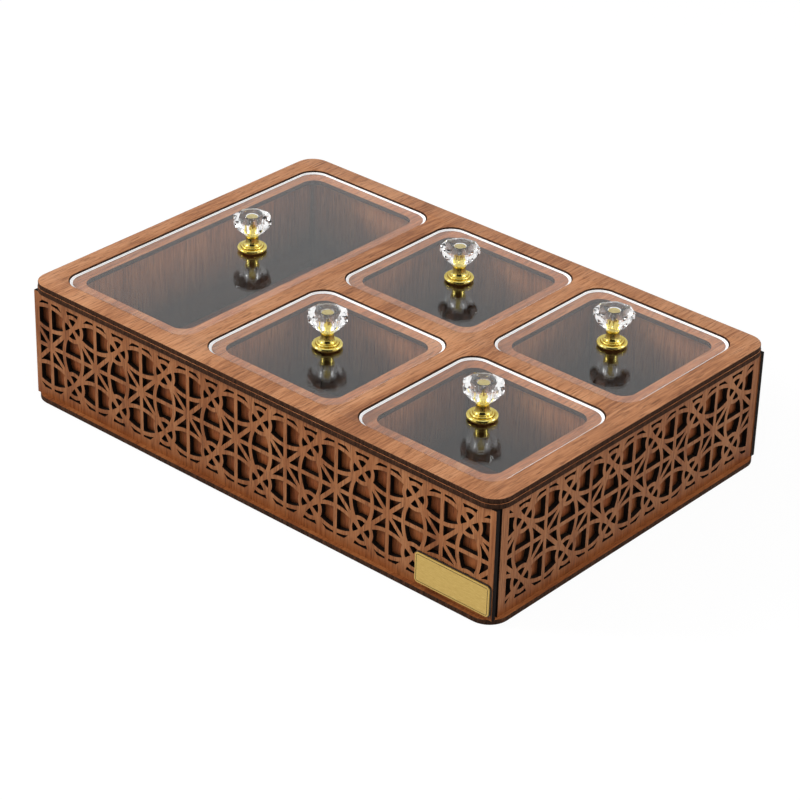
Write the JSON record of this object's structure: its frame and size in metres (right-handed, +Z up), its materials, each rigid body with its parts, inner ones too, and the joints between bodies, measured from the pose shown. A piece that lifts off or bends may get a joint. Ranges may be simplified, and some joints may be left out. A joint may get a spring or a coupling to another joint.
{
  "type": "serving box",
  "caption": "Low rectangular serving box of thin walnut board with pierced lattice sides, separate compartments, and clear drop-in lids with faceted knobs.",
  "frame": {"origin": "middle of the underside of the base board", "axes": "+X along the long front, from the long compartment to the end pair; +Y from the front with the plate to the back; +Z up"},
  "size_m": [0.362, 0.2466, 0.1013],
  "materials": {
    "top_veneer": "satin walnut veneer, grain across the box, dark laser-cut edges",
    "side_veneer": "satin walnut veneer, upright grain, dark laser-cut edges",
    "inner_veneer": "satin walnut veneer",
    "clear_sheet": "clear, polished, with bright cut edges",
    "crystal": "clear, cut and polished facets",
    "polished_brass": "polished, gold coloured",
    "plate_gold": "brushed, gold coloured",
    "plate_dark": "dark satin"
  },
  "bodies": {
    "box": {"base_board": "top_veneer", "ledge_board": "top_veneer", "top_board": "top_veneer", "lattice_front": "side_veneer", "lattice_back": "side_veneer", "lattice_left": "side_veneer", "lattice_right": "side_veneer", "wall_front": "inner_veneer", "wall_back": "inner_veneer", "wall_left": "inner_veneer", "wall_right": "inner_veneer", "divider_long": "inner_veneer", "divider_cross": "inner_veneer", "divider_row": "inner_veneer", "plate_face": "plate_gold", "plate_backing": "plate_dark"},
    "long_lid": {"lid_long": "clear_sheet", "knob_crystal_long": "crystal", "knob_stem_long": "polished_brass", "knob_screw_long": "polished_brass"},
    "middle_front_lid": {"lid_middle_front": "clear_sheet", "knob_crystal_middle_front": "crystal", "knob_stem_middle_front": "polished_brass", "knob_screw_middle_front": "polished_brass"},
    "middle_back_lid": {"lid_middle_back": "clear_sheet", "knob_crystal_middle_back": "crystal", "knob_stem_middle_back": "polished_brass", "knob_screw_middle_back": "polished_brass"},
    "end_front_lid": {"lid_end_front": "clear_sheet", "knob_crystal_end_front": "crystal", "knob_stem_end_front": "polished_brass", "knob_screw_end_front": "polished_brass"},
    "end_back_lid": {"lid_end_back": "clear_sheet", "knob_crystal_end_back": "crystal", "knob_stem_end_back": "polished_brass", "knob_screw_end_back": "polished_brass"}
  },
  "joints": [
    {"name": "long_lid_lift", "type": "slide", "parent": "box", "child": "long_lid", "axis": [0, 0, 1], "range_m": [0, 0.05]},
    {"name": "middle_front_lid_lift", "type": "slide", "parent": "box", "child": "middle_front_lid", "axis": [0, 0, 1], "range_m": [0, 0.05]},
    {"name": "middle_back_lid_lift", "type": "slide", "parent": "box", "child": "middle_back_lid", "axis": [0, 0, 1], "range_m": [0, 0.05]},
    {"name": "end_front_lid_lift", "type": "slide", "parent": "box", "child": "end_front_lid", "axis": [0, 0, 1], "range_m": [0, 0.05]},
    {"name": "end_back_lid_lift", "type": "slide", "parent": "box", "child": "end_back_lid", "axis": [0, 0, 1], "range_m": [0, 0.05]}
  ]
}
